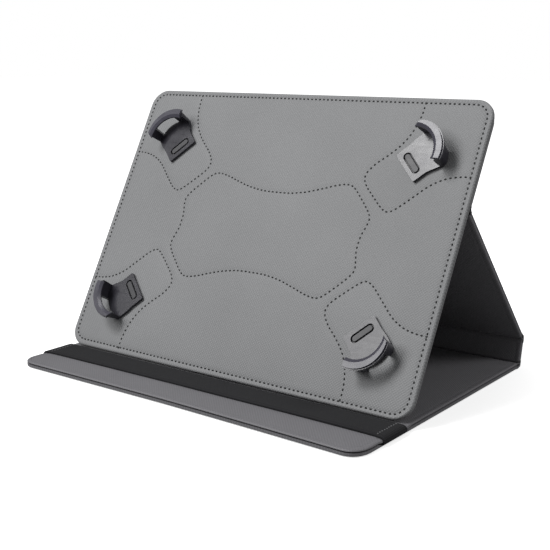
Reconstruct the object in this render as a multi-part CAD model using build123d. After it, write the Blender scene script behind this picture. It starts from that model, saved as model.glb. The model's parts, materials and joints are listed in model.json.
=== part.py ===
from build123d import *
import math
import os

# Folio stand case for a 10 inch tablet, standing open.
# Millimetres, +Z up, the table at Z = 0, +X along the case, -Y towards the user.

# ---- driving sizes -------------------------------------------------------
COVER_WIDTH = 265.0        # front cover, spine and back, along X
DEPTH = 196.13             # whole footprint, front edge to the back of the spine
FRONT_EDGE_Y = -DEPTH / 2
FRONT_LENGTH = 187.4       # front cover, front edge to the first groove
FRONT_FOLD = 190.95        # front edge to the first fold line
FRONT_CORNER = 10.5        # rounding of the two free corners of the front cover
FRONT_SKIN = 0.9           # outer skin of the front cover
FRONT_BOARD = 2.2
FRONT_LINING = 0.9
FRONT_THICK = FRONT_SKIN + FRONT_BOARD + FRONT_LINING
BOARD_INSET = 1.2          # the boards stop this far inside the skins

SKIN = 0.8                 # outer skin and lining of the spine and back
PANEL_BOARD = 1.9
PANEL_HALF = SKIN + PANEL_BOARD / 2
GROOVE_GAP = 3.0           # board edge to fold line
FOLD_LINING = 0.6          # the thinner skins on the inner side of a fold

SPINE_ANGLE = 78.0         # panel directions, measured from +Y towards +Z
SPINE_LENGTH = 17.8        # fold line to fold line
BACK_ANGLE = 132.0
BACK_LENGTH = 127.9

HOLDER_WIDTH = 267.4
HOLDER_HEIGHT = 192.5
HOLDER_ANGLE = 61.0        # leans back 29 degrees from upright
HOLDER_CORNER = 12.0
HOLDER_FACE = 0.8
HOLDER_BOARD = 2.0
HOLDER_BACK = 0.7
HOLDER_THICK = HOLDER_FACE + HOLDER_BOARD + HOLDER_BACK
FOLD_HEIGHT = 124.3        # top fold, measured up the holder from its lower edge
FOLD_CLEAR = 0.2           # from the fold line to each of the two surfaces it joins
UPPER_GAP = 4.5            # top fold line to the boards on both sides of it
UPPER_BOARD = 3.0
UPPER_TOP_INSET = 1.5

STRAP_START = 21.0         # front edge of the cover to the strap
STRAP_WIDTH = 22.5
STRAP_THICK = 1.2
STRAP_TUCK = 12.5          # length sewn in under the board at each end

CLIP_INNER_X = 87.8        # middle of the clip's inner edge, from the holder's centre
CLIP_INNER_V = 49.1
CLIP_INNER_HALF = 11.3     # half of the straight inner edge
CLIP_STRAIGHT = 8.0        # both sides run straight out this far, then flare
CLIP_FLARE_START = (14.0, -12.6)   # a point each flare runs through
CLIP_FLARE_END = (15.0, 12.0)
CLIP_INNER_CORNER = 0.9    # roundings of the base's corners
CLIP_START_CORNER = 3.6
CLIP_END_CORNER = 2.6
CLIP_LIFT = 0.3            # running gap under the clip
CLIP_BASE = 1.8
CLIP_GAP = 8.9             # tablet edge space between base and lip
CLIP_LIP = 2.0
CLIP_ARC_CENTRE = 11.2     # from the inner edge, outwards along the diagonal
CLIP_ARC_OUTER = 19.4
CLIP_FOOT_RADIUS = 17.5    # the walls lean outwards: smaller at the base,
CLIP_WALL_RADIUS = 19.0    # almost as far out as the lip just below it
CLIP_WALL = 2.3
CLIP_SKIRT = 2.7           # the wall hangs this far below the lip all along the arc
CLIP_ARC_START = -58.0     # the arc is not symmetric: it reaches further clockwise
CLIP_ARC_END = 43.0
CLIP_LIP_CENTRE = (8.9, 1.5)   # the lip's inner edge is an arc of its own
CLIP_LIP_INNER = 15.8
CLIP_LIP_START_X = 17.1    # where the inner edge meets the lip's two cut ends
CLIP_LIP_END_X = 19.7
CLIP_BEVEL = 2.0           # along the lip's inner edge, measured across
CLIP_BEVEL_DEPTH = 1.1
CLIP_STEP = 0.8            # ledge along the lip's outer edge
CLIP_STEP_DEPTH = 1.1
CLIP_WINDOW_START = -27.0
CLIP_WINDOW_SIDE = 7.9     # the window's other side runs straight out
CLIP_WINDOW_RADIUS = 14.6  # the base stops here between the two posts
CLIP_POST_RADIUS = 15.4    # inner side of the posts
CLIP_SPARE = 3.0           # base, posts and wall are drawn this much too large, then cut
CLIP_SPARE_ANGLE = 14.0
CLIP_JOIN = 0.3            # how far one piece of the clip reaches into the next
CLIP_TRAVEL = 10.0

STUD_CENTRE = 5.3
STUD_LENGTH = 14.4
STUD_WIDTH = 3.7
STUD_GROOVE = 0.9          # width of the groove round the stud's head
STUD_SHOULDER = 1.5        # below the top of the base, where the stud fills its hole
STUD_CHAMFER = 0.25
STUD_FIT = 0.04            # gap between the stud and its hole
STUD_PROUD = 0.1           # how far the head stands over the base
STUD_JOIN = 0.2            # how far foot, plug and head reach into each other
SLOT_CLEAR = 0.5
FOOT_WIDTH = 7.0           # along the slide
FOOT_THICK = 1.3
FOOT_HALF = 11.5
FOOT_CORNER = 1.5
FOOT_CLEAR = 0.9           # room beyond the foot at the end of its travel
ELASTIC_START = -21.0      # sewn end, on the far side of the inner edge
ELASTIC_HALF = 12.0
ELASTIC_THICK = 1.2

CORNERS = {
    "top_left": (-1, 1),
    "top_right": (1, 1),
    "bottom_left": (-1, -1),
    "bottom_right": (1, -1),
}


# ---- frames --------------------------------------------------------------
def panel_plane(y, z, angle):
    """A panel's own frame: X along the case, Y up the panel, Z out of its inner side."""
    a = math.radians(angle)
    return Plane(origin=(0, y, z), x_dir=(1, 0, 0), z_dir=(0, -math.sin(a), math.cos(a)))


def local_point(plane, x, y, z):
    p = plane.from_local_coords(Vector(x, y, z))
    return p.X, p.Y, p.Z


FRONT_PLANE = panel_plane(FRONT_EDGE_Y, 0, 0)
FOLD_1 = (FRONT_EDGE_Y + FRONT_FOLD, PANEL_HALF)
SPINE_PLANE = panel_plane(*FOLD_1, SPINE_ANGLE)
FOLD_2 = local_point(SPINE_PLANE, 0, SPINE_LENGTH, 0)[1:]
BACK_PLANE = panel_plane(*FOLD_2, BACK_ANGLE)
FOLD_3 = local_point(BACK_PLANE, 0, BACK_LENGTH, PANEL_HALF + FOLD_CLEAR)[1:]
FOLD_3_PLANE = panel_plane(*FOLD_3, HOLDER_ANGLE)
HOLDER_ORIGIN = local_point(FOLD_3_PLANE, 0, -FOLD_HEIGHT, HOLDER_THICK + FOLD_CLEAR)
HOLDER_PLANE = panel_plane(*HOLDER_ORIGIN[1:], HOLDER_ANGLE)


def clip_plane(side_x, side_v):
    """A clip's own frame on the holder's face: X outwards along the diagonal, Z off the face."""
    x = side_x * CLIP_INNER_X
    v = HOLDER_HEIGHT / 2 + side_v * CLIP_INNER_V
    origin = local_point(HOLDER_PLANE, x, v, 0)
    up = HOLDER_PLANE.y_dir
    across = Vector(1, 0, 0)
    return Plane(origin=origin, x_dir=across * side_x + up * side_v, z_dir=HOLDER_PLANE.z_dir)


# ---- shape helpers -------------------------------------------------------
def block(plane, x0, x1, y0, y1, z0, z1):
    """A box given by its limits in a plane's frame."""
    box = Box(x1 - x0, y1 - y0, z1 - z0, align=(Align.MIN, Align.MIN, Align.MIN))
    return plane * Pos(x0, y0, z0) * box


def slab(plane, sketch, z0, z1):
    """A flat sketch thickened between two heights of a plane's frame."""
    return plane * Pos(0, 0, z0) * extrude(sketch, z1 - z0)


def rounded_sheet(width, y0, y1, low_corner=0.0, high_corner=0.0):
    """A sheet outline, centred on X, with its low and high corner pairs rounded."""
    sheet = Pos(0, (y0 + y1) / 2) * Rectangle(width, y1 - y0)
    corners = sheet.vertices().sort_by(Axis.Y)
    if low_corner:
        sheet = fillet(corners[:2], low_corner)
    if high_corner:
        sheet = fillet(sheet.vertices().sort_by(Axis.Y)[-2:], high_corner)
    return sheet


def arc_point(radius, angle):
    """A point round the clip's arc centre, at an angle off the diagonal."""
    a = math.radians(angle)
    return CLIP_ARC_CENTRE + radius * math.cos(a), radius * math.sin(a)


def sector(radius_in, radius_out, start, end):
    """A ring sector around the clip's arc centre, between two angles off the diagonal."""
    middle = (start + end) / 2
    return make_face([
        ThreePointArc(*(arc_point(radius_out, a) for a in (start, middle, end))),
        Line(arc_point(radius_out, end), arc_point(radius_in, end)),
        ThreePointArc(*(arc_point(radius_in, a) for a in (end, middle, start))),
        Line(arc_point(radius_in, start), arc_point(radius_out, start)),
    ])


def bezier(points, t):
    """A point on the smooth curve ruled by a list of control points."""
    while len(points) > 1:
        points = [
            ((1 - t) * a[0] + t * b[0], (1 - t) * a[1] + t * b[1])
            for a, b in zip(points, points[1:])
        ]
    return points[0]


def bent_strip(controls, thickness, steps=16):
    """A thin strip across the whole case, bent along a curve in the YZ plane."""
    line = [bezier(controls, i / steps) for i in range(steps + 1)]
    left, right = [], []
    for i, (y, z) in enumerate(line):
        y0, z0 = line[max(i - 1, 0)]
        y1, z1 = line[min(i + 1, steps)]
        length = math.hypot(y1 - y0, z1 - z0)
        ny, nz = -(z1 - z0) / length, (y1 - y0) / length
        left.append((y + ny * thickness / 2, z + nz * thickness / 2))
        right.append((y - ny * thickness / 2, z - nz * thickness / 2))
    profile = make_face(Polyline(*(left + right[::-1]), close=True))
    side = Plane(origin=(-COVER_WIDTH / 2, 0, 0), x_dir=(0, 1, 0), z_dir=(1, 0, 0))
    return side * extrude(profile, COVER_WIDTH)


def at(plane, y, z):
    """A point of a panel's frame as (Y, Z) of the case."""
    return local_point(plane, 0, y, z)[1:]


# ---- front cover ---------------------------------------------------------
def front_parts():
    skin = rounded_sheet(COVER_WIDTH, 0, FRONT_LENGTH, low_corner=FRONT_CORNER)
    board = rounded_sheet(
        COVER_WIDTH - 2 * BOARD_INSET, BOARD_INSET, FRONT_LENGTH - 0.4,
        low_corner=FRONT_CORNER - BOARD_INSET,
    )
    lining_z = FRONT_SKIN + FRONT_BOARD
    board = slab(FRONT_PLANE, board, FRONT_SKIN, lining_z)
    half = COVER_WIDTH / 2
    strap_end = STRAP_START + STRAP_WIDTH
    for side in (-1, 1):
        # room for the strap's sewn-in end
        x0, x1 = sorted((side * (half - STRAP_TUCK - 0.4), side * (half + 1)))
        board -= block(
            FRONT_PLANE, x0, x1, STRAP_START - 0.4, strap_end + 0.4,
            FRONT_SKIN, FRONT_SKIN + STRAP_THICK + 0.1,
        )
    return {
        "front_outer_skin": slab(FRONT_PLANE, skin, 0, FRONT_SKIN),
        "front_board": board,
        "front_lining": slab(FRONT_PLANE, skin, lining_z, FRONT_THICK),
        "closing_strap": closing_strap(),
    }


def closing_strap():
    """The elastic strap lies across the cover and turns in under both ends."""
    half = COVER_WIDTH / 2 + 0.1
    y0, y1 = STRAP_START, STRAP_START + STRAP_WIDTH
    low = FRONT_SKIN + 0.05
    top = FRONT_THICK + STRAP_THICK
    outer = block(FRONT_PLANE, -half - STRAP_THICK, half + STRAP_THICK, y0, y1, low, top)
    outer = fillet(outer.edges().filter_by(Axis.Y), STRAP_THICK * 0.9)
    hollow = block(FRONT_PLANE, -half, half, y0 - 1, y1 + 1, low + STRAP_THICK, FRONT_THICK)
    gap = half - STRAP_TUCK
    under = block(FRONT_PLANE, -gap, gap, y0 - 1, y1 + 1, low - 1, low + STRAP_THICK + 0.1)
    return outer - hollow - under


# ---- spine and back ------------------------------------------------------
def panel_layers(prefix, plane, y0, y1, width):
    """Outer skin, board and lining of one panel."""
    half = PANEL_HALF
    sheet = rounded_sheet(width, y0, y1)
    core = rounded_sheet(width - 2 * BOARD_INSET, y0, y1)
    return {
        prefix + "_outer_skin": slab(plane, sheet, -half, SKIN - half),
        prefix + "_board": slab(plane, core, SKIN - half, half - SKIN),
        prefix + "_lining": slab(plane, sheet, half - SKIN, half),
    }


def groove_parts():
    """The thin skins that run across the folds between the boards."""
    mid = PANEL_HALF - SKIN / 2
    gap = 0.12
    front_end = FRONT_LENGTH + gap
    spine_end = SPINE_LENGTH - GROOVE_GAP + gap
    back_end = BACK_LENGTH - UPPER_GAP + gap
    upper_start = FOLD_HEIGHT + UPPER_GAP - gap
    upper_skin_z = -(HOLDER_THICK + UPPER_BOARD + FRONT_SKIN / 2)
    first_outer = [
        at(FRONT_PLANE, front_end, SKIN / 2),
        at(FRONT_PLANE, front_end + 4.1, SKIN / 2),
        at(SPINE_PLANE, -0.6, -mid),
        at(SPINE_PLANE, GROOVE_GAP - gap, -mid),
    ]
    first_inner = [
        at(FRONT_PLANE, front_end, FRONT_THICK - SKIN / 2),
        at(FRONT_PLANE, front_end + 1.4, FRONT_THICK - SKIN / 2),
        at(SPINE_PLANE, 0.6, 0.0),
        at(SPINE_PLANE, GROOVE_GAP - 1.0, mid),
        at(SPINE_PLANE, GROOVE_GAP - gap, mid),
    ]
    second_outer = [
        at(SPINE_PLANE, spine_end, -mid),
        at(SPINE_PLANE, SPINE_LENGTH + 0.4, -mid),
        at(BACK_PLANE, -0.4, -mid),
        at(BACK_PLANE, GROOVE_GAP - gap, -mid),
    ]
    second_inner = [
        at(SPINE_PLANE, spine_end, mid),
        at(SPINE_PLANE, SPINE_LENGTH - 2.0, mid),
        at(SPINE_PLANE, SPINE_LENGTH - 0.6, 0.4),
        at(BACK_PLANE, 2.0, mid),
        at(BACK_PLANE, GROOVE_GAP - gap, mid),
    ]
    top_skin = [
        at(BACK_PLANE, back_end, -mid),
        at(BACK_PLANE, back_end + 1.6, -mid),
        at(HOLDER_PLANE, upper_start - 1.6, upper_skin_z),
        at(HOLDER_PLANE, upper_start, upper_skin_z),
    ]
    return {
        "front_groove_skin": bent_strip(first_outer, SKIN),
        "front_groove_lining": bent_strip(first_inner, FOLD_LINING),
        "rear_groove_skin": bent_strip(second_outer, SKIN),
        "rear_groove_lining": bent_strip(second_inner, FOLD_LINING),
        "top_fold_skin": bent_strip(top_skin, FOLD_LINING),
    }


# ---- tablet holder -------------------------------------------------------
def holder_parts():
    sheet = rounded_sheet(
        HOLDER_WIDTH, 0, HOLDER_HEIGHT, low_corner=HOLDER_CORNER, high_corner=HOLDER_CORNER
    )
    core = rounded_sheet(
        HOLDER_WIDTH - 2 * BOARD_INSET, BOARD_INSET, HOLDER_HEIGHT - BOARD_INSET,
        low_corner=HOLDER_CORNER - 1, high_corner=HOLDER_CORNER - 1,
    )
    board_low = -HOLDER_FACE - HOLDER_BOARD
    face = slab(HOLDER_PLANE, sheet, -HOLDER_FACE, 0)
    board = slab(HOLDER_PLANE, core, board_low, -HOLDER_FACE)
    lining = slab(HOLDER_PLANE, sheet, -HOLDER_THICK, board_low)
    parts = {}
    for name, sides in CORNERS.items():
        plane = clip_plane(*sides)
        face -= slab(plane, stud_slot(), -HOLDER_FACE - 1, 1)
        far = STUD_CENTRE + FOOT_WIDTH / 2 + CLIP_TRAVEL + SLOT_CLEAR + FOOT_CLEAR
        board -= block(
            plane, ELASTIC_START - 0.5, far, -ELASTIC_HALF - 0.8, ELASTIC_HALF + 0.8,
            board_low, -HOLDER_FACE,
        )
        middle = -HOLDER_FACE - HOLDER_BOARD / 2
        parts["elastic_" + name] = block(
            plane, ELASTIC_START, STUD_CENTRE - FOOT_WIDTH / 2 - 0.3, -ELASTIC_HALF, ELASTIC_HALF,
            middle - ELASTIC_THICK / 2, middle + ELASTIC_THICK / 2,
        )
    upper_low = FOLD_HEIGHT + UPPER_GAP
    upper_high = HOLDER_HEIGHT - UPPER_TOP_INSET
    upper = rounded_sheet(COVER_WIDTH, upper_low, upper_high, high_corner=HOLDER_CORNER)
    upper_core = rounded_sheet(
        COVER_WIDTH - 2 * BOARD_INSET, upper_low, upper_high - BOARD_INSET,
        high_corner=HOLDER_CORNER - 1,
    )
    back = -HOLDER_THICK
    parts.update({
        "holder_face": face,
        "holder_board": board,
        "holder_back_lining": lining,
        "upper_back_board": slab(HOLDER_PLANE, upper_core, back - UPPER_BOARD, back),
        "upper_back_skin": slab(
            HOLDER_PLANE, upper, back - UPPER_BOARD - FRONT_SKIN, back - UPPER_BOARD
        ),
    })
    return parts


def stud_outline(extra=0.0):
    return Pos(STUD_CENTRE, 0) * Rotation(0, 0, 90) * SlotOverall(
        STUD_LENGTH + 2 * extra, STUD_WIDTH + 2 * extra
    )


def stud_slot():
    """The opening in the face: the stud's outline drawn out along its travel."""
    clear = STUD_GROOVE + SLOT_CLEAR
    half = STUD_LENGTH / 2 + clear
    start = STUD_CENTRE - STUD_WIDTH / 2 - clear
    end = STUD_CENTRE + STUD_WIDTH / 2 + CLIP_TRAVEL + clear
    hole = Pos((start + end) / 2, 0) * Rectangle(end - start, 2 * half)
    return fillet(hole.vertices(), 2.0)


# ---- corner clips --------------------------------------------------------
def clip_outline(radius):
    """Straight inner edge, two flaring sides of unequal length and a round outer edge."""
    half = CLIP_INNER_HALF
    end = arc_point(radius, CLIP_ARC_END)
    start = arc_point(radius, CLIP_ARC_START)
    outline = [
        Line((0, -half), (0, half)),
        Line((0, half), (CLIP_STRAIGHT, half)),
        Spline((CLIP_STRAIGHT, half), CLIP_FLARE_END, end, tangents=[(1, 0), (1, 0.08)]),
        ThreePointArc(end, (CLIP_ARC_CENTRE + radius, 0), start),
        Spline(
            start, CLIP_FLARE_START, (CLIP_STRAIGHT, -half), tangents=[(-1, 0.62), (-1, 0)]
        ),
        Line((CLIP_STRAIGHT, -half), (0, -half)),
    ]
    face = make_face(outline)
    face = fillet(face.vertices().sort_by(Axis.X)[:2], CLIP_INNER_CORNER)
    face = fillet(face.vertices().sort_by_distance((*start, 0))[:1], CLIP_START_CORNER)
    return fillet(face.vertices().sort_by_distance((*end, 0))[:1], CLIP_END_CORNER)


def clip_lip(thickness):
    """The arched plate that holds the tablet's corner: wide, bevelled inside, stepped outside."""
    cx, cy = CLIP_LIP_CENTRE
    start = arc_point(CLIP_ARC_OUTER, CLIP_ARC_START)
    end = arc_point(CLIP_ARC_OUTER, CLIP_ARC_END)

    def on_inner_edge(x, side):
        return x, cy + side * math.sqrt(CLIP_LIP_INNER**2 - (x - cx) ** 2)

    inner_start = on_inner_edge(CLIP_LIP_START_X, -1)
    inner_end = on_inner_edge(CLIP_LIP_END_X, 1)
    plate = make_face([
        ThreePointArc(start, (CLIP_ARC_CENTRE + CLIP_ARC_OUTER, 0), end),
        Line(end, inner_end),
        ThreePointArc(inner_end, (cx + CLIP_LIP_INNER, cy), inner_start),
        Line(inner_start, start),
    ])
    lip = extrude(plate, thickness)
    spread = CLIP_BEVEL / CLIP_BEVEL_DEPTH
    lip -= Pos(cx, cy, thickness - CLIP_BEVEL_DEPTH - 0.5) * Cone(
        CLIP_LIP_INNER - 0.5 * spread, CLIP_LIP_INNER + CLIP_BEVEL + 0.5 * spread,
        CLIP_BEVEL_DEPTH + 1.0, align=(Align.CENTER, Align.CENTER, Align.MIN),
    )
    step = Circle(CLIP_ARC_OUTER + 3) - Circle(CLIP_ARC_OUTER - CLIP_STEP)
    return lip - Pos(CLIP_ARC_CENTRE, 0, thickness - CLIP_STEP_DEPTH) * extrude(step, 3)


def clip(plane):
    """One corner hook: base, two end posts and an arched lip over an open window."""
    low = CLIP_LIFT
    base_top = low + CLIP_BASE
    lip_low = base_top + CLIP_GAP
    outside = CLIP_ARC_OUTER + CLIP_SPARE
    start = CLIP_ARC_START - CLIP_SPARE_ANGLE
    end = CLIP_ARC_END + CLIP_SPARE_ANGLE
    beside = Pos(outside, CLIP_WINDOW_SIDE + outside) * Rectangle(4 * outside, 2 * outside)
    window = sector(CLIP_WINDOW_RADIUS, outside + CLIP_SPARE, CLIP_WINDOW_START, end) - beside
    base = Pos(CLIP_ARC_CENTRE, 0) * Circle(outside) - window - stud_outline(STUD_GROOVE)
    base = Pos(0, 0, low - CLIP_SPARE) * extrude(base, CLIP_BASE + CLIP_SPARE)
    skirt = sector(CLIP_ARC_OUTER - CLIP_WALL, outside, start, end)
    skirt = Pos(0, 0, lip_low - CLIP_SKIRT) * extrude(skirt, CLIP_SKIRT + CLIP_JOIN)
    posts = sector(CLIP_POST_RADIUS, outside, start, end) - window
    posts = Pos(0, 0, base_top - CLIP_JOIN) * extrude(posts, CLIP_GAP + 1.5 * CLIP_JOIN)
    # all of that is drawn too large; the leaning hull then cuts it to the clip's own sides
    hull = loft([
        Pos(0, 0, low) * clip_outline(CLIP_FOOT_RADIUS),
        Pos(0, 0, lip_low + CLIP_LIP) * clip_outline(CLIP_WALL_RADIUS),
    ], ruled=True)
    return plane * (((base + posts + skirt) & hull) + Pos(0, 0, lip_low) * clip_lip(CLIP_LIP))


def stud(plane):
    """The plug through the clip, with the foot that runs inside the holder."""
    middle = -HOLDER_FACE - HOLDER_BOARD / 2
    foot_low = middle - FOOT_THICK / 2
    top = CLIP_LIFT + CLIP_BASE + STUD_PROUD
    shoulder = CLIP_LIFT + CLIP_BASE - STUD_SHOULDER
    foot = Pos(STUD_CENTRE, 0, foot_low) * extrude(
        RectangleRounded(FOOT_WIDTH, 2 * FOOT_HALF, FOOT_CORNER), FOOT_THICK
    )
    plug = Pos(0, 0, foot_low + STUD_JOIN) * extrude(
        stud_outline(STUD_GROOVE - STUD_FIT), shoulder - foot_low - STUD_JOIN
    )
    head = Pos(0, 0, shoulder - STUD_JOIN) * extrude(stud_outline(), top - shoulder + STUD_JOIN)
    head = chamfer(head.faces().sort_by(Axis.Z)[-1].edges(), STUD_CHAMFER)
    return plane * (foot + plug + head)


# ---- the whole case ------------------------------------------------------
parts = {}
parts.update(front_parts())
parts.update(panel_layers(
    "spine", SPINE_PLANE, GROOVE_GAP, SPINE_LENGTH - GROOVE_GAP, COVER_WIDTH
))
parts.update(panel_layers(
    "back", BACK_PLANE, GROOVE_GAP, BACK_LENGTH - UPPER_GAP, COVER_WIDTH
))
parts.update(groove_parts())
parts.update(holder_parts())
for corner, corner_sides in CORNERS.items():
    corner_plane = clip_plane(*corner_sides)
    parts["clip_" + corner] = clip(corner_plane)
    parts["stud_" + corner] = stud(corner_plane)

os.makedirs("parts", exist_ok=True)
for node, shape in parts.items():
    export_step(shape, "parts/" + node + ".step")
    box = shape.bounding_box()
    print(
        f"{node:22s} x {box.min.X:8.2f} {box.max.X:8.2f}  y {box.min.Y:8.2f} {box.max.Y:8.2f}"
        f"  z {box.min.Z:7.2f} {box.max.Z:7.2f}  volume {shape.volume:10.1f}"
    )
print("fold 1", FOLD_1, "fold 2", FOLD_2, "fold 3", FOLD_3)
print("holder lower front edge", HOLDER_ORIGIN)
print("holder turn per back turn", (BACK_ANGLE - HOLDER_ANGLE) / (BACK_ANGLE - SPINE_ANGLE))
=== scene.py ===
"""Looks for a folding tablet stand case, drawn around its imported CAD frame. Metres."""
import json
import math
import random

import bmesh
import bpy
from mathutils import Matrix, Vector, kdtree, noise


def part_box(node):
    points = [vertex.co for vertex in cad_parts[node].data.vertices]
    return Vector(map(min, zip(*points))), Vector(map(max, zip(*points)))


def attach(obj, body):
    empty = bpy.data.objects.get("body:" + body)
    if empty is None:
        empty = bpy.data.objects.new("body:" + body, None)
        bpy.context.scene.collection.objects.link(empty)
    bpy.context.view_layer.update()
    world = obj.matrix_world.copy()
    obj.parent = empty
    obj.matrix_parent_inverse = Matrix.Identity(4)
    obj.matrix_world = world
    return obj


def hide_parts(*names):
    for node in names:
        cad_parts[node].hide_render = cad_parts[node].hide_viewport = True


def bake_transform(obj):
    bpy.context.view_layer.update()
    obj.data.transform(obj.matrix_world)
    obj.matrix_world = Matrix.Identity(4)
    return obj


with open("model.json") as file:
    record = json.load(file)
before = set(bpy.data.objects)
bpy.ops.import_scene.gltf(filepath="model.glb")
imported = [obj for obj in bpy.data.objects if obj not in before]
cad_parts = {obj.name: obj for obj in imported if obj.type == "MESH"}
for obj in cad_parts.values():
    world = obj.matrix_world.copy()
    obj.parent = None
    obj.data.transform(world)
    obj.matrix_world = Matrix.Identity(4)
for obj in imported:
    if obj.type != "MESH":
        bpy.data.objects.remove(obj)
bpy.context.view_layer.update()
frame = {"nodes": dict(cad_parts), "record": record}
MM = 0.001
random.seed(7)

# ---- sizes shared with the CAD model, in millimetres ------------------------
COVER_WIDTH = 265.0
FRONT_LENGTH = 187.4
FRONT_CORNER = 10.5
FRONT_THICK = 4.0
FRONT_SKIN = 0.9
SKIN = 0.8
PANEL_HALF = 1.75
GROOVE_GAP = 3.0
SPINE_ANGLE, SPINE_LENGTH = 78.0, 17.8
BACK_ANGLE, BACK_LENGTH = 132.0, 127.9
HOLDER_ANGLE = 61.0
HOLDER_WIDTH, HOLDER_HEIGHT, HOLDER_CORNER = 267.4, 192.5, 12.0
HOLDER_FACE, HOLDER_BACK, HOLDER_THICK = 0.8, 0.7, 3.5
FOLD_HEIGHT, UPPER_GAP, UPPER_BOARD = 124.3, 4.5, 3.0
UPPER_TOP_INSET = 1.5
STRAP_START, STRAP_WIDTH, STRAP_THICK, STRAP_TUCK = 21.0, 22.5, 1.2, 12.5
CLIP_INNER_X, CLIP_INNER_V = 87.8, 49.1
SLOT_START, SLOT_END, SLOT_HALF = 2.05, 18.55, 8.6
ELASTIC_START, ELASTIC_END, ELASTIC_HALF, ELASTIC_THICK = -21.0, 1.7, 12.0, 1.2
HOLDER_BOARD = 2.0
HEM = 1.0                  # thickness of a skin where it turns down over a board's edge
CORNERS = {
    "top_left": (-1, 1),
    "top_right": (1, 1),
    "bottom_left": (-1, -1),
    "bottom_right": (1, -1),
}


# ---- panel frames ------------------------------------------------------------
class Panel:
    """A flat panel's own frame: x along the case, y up the panel, z out of its inner side."""

    def __init__(self, origin, angle):
        a = math.radians(angle)
        self.origin = Vector(origin)
        self.across = Vector((1, 0, 0))
        self.up = Vector((0, math.cos(a), math.sin(a)))
        self.out = Vector((0, -math.sin(a), math.cos(a)))

    def at(self, x, y, z):
        """A point given in millimetres of the panel's frame, in metres of the case."""
        return self.origin + (self.across * x + self.up * y + self.out * z) * MM


joint_at = {
    j["name"]: Vector(j["pos_m"]) for j in frame["record"]["behaviour"]["joints"] if "pos_m" in j
}
front_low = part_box("front_outer_skin")[0]
face_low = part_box("holder_face")[0]
front = Panel((0, front_low.y, 0), 0)
spine = Panel(joint_at["spine_fold"], SPINE_ANGLE)
back = Panel(joint_at["back_fold"], BACK_ANGLE)
lean = math.radians(90 - HOLDER_ANGLE)
holder = Panel((0, face_low.y, face_low.z + HOLDER_FACE * MM * math.sin(lean)), HOLDER_ANGLE)


# ---- node helpers for materials --------------------------------------------
def new_material(name):
    mat = bpy.data.materials.new(name)
    mat.use_nodes = True
    nodes = mat.node_tree.nodes
    nodes.clear()
    out = nodes.new("ShaderNodeOutputMaterial")
    shader = nodes.new("ShaderNodeBsdfPrincipled")
    mat.node_tree.links.new(shader.outputs["BSDF"], out.inputs["Surface"])
    return mat, nodes, mat.node_tree.links, shader


def math_node(nodes, links, operation, a, b):
    """One sum or product of two sockets, or of a socket and a number."""
    node = nodes.new("ShaderNodeMath")
    node.operation = operation
    for socket, value in zip(node.inputs, (a, b)):
        if isinstance(value, (int, float)):
            socket.default_value = value
        else:
            links.new(value, socket)
    return node.outputs[0]


def noise_node(nodes, links, vector, scale, detail=3.0, roughness=0.5):
    node = nodes.new("ShaderNodeTexNoise")
    node.inputs["Scale"].default_value = scale
    node.inputs["Detail"].default_value = detail
    node.inputs["Roughness"].default_value = roughness
    links.new(vector, node.inputs["Vector"])
    return node.outputs["Fac"]


RIB_SCALE = 0.314           # wave scale that gives one rib per unit of the map
EMBOSS_PITCH = 1.35         # millimetres between the ribs of the leatherette
# painted highlight on the clips' lips: how many times lighter they are painted, and over how many
# millimetres of height
LIP_HIGHLIGHT_GAIN, LIP_HIGHLIGHT_BLEND = 2.1, 1.5      # times lighter at the lips, reached over these millimetres


def wave_node(nodes, links, vector, turn, pitch_mm):
    """Even sine ribs across a sheet's own map, which is in millimetres, turned by some degrees."""
    mapping = nodes.new("ShaderNodeMapping")
    mapping.inputs["Rotation"].default_value = (0, 0, math.radians(turn))
    links.new(vector, mapping.inputs["Vector"])
    wave = nodes.new("ShaderNodeTexWave")
    wave.wave_type = "BANDS"
    wave.bands_direction = "X"
    wave.inputs["Scale"].default_value = RIB_SCALE / pitch_mm
    wave.inputs["Distortion"].default_value = 0.0
    links.new(mapping.outputs["Vector"], wave.inputs["Vector"])
    return wave.outputs["Fac"]


def ramp_node(nodes, links, value, stops):
    ramp = nodes.new("ShaderNodeValToRGB")
    elements = ramp.color_ramp.elements
    while len(elements) < len(stops):
        elements.new(0.5)
    for element, (position, colour) in zip(elements, stops):
        element.position = position
        element.color = (*colour, 1)
    links.new(value, ramp.inputs["Fac"])
    return ramp.outputs["Color"]


def bump_node(nodes, links, height, distance_mm, strength, below=None):
    bump = nodes.new("ShaderNodeBump")
    bump.inputs["Strength"].default_value = strength
    bump.inputs["Distance"].default_value = distance_mm * MM
    links.new(height, bump.inputs["Height"])
    if below is not None:
        links.new(below, bump.inputs["Normal"])
    return bump.outputs["Normal"]


def shade(colour, factor):
    return tuple(min(1.0, c * factor) for c in colour)


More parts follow.
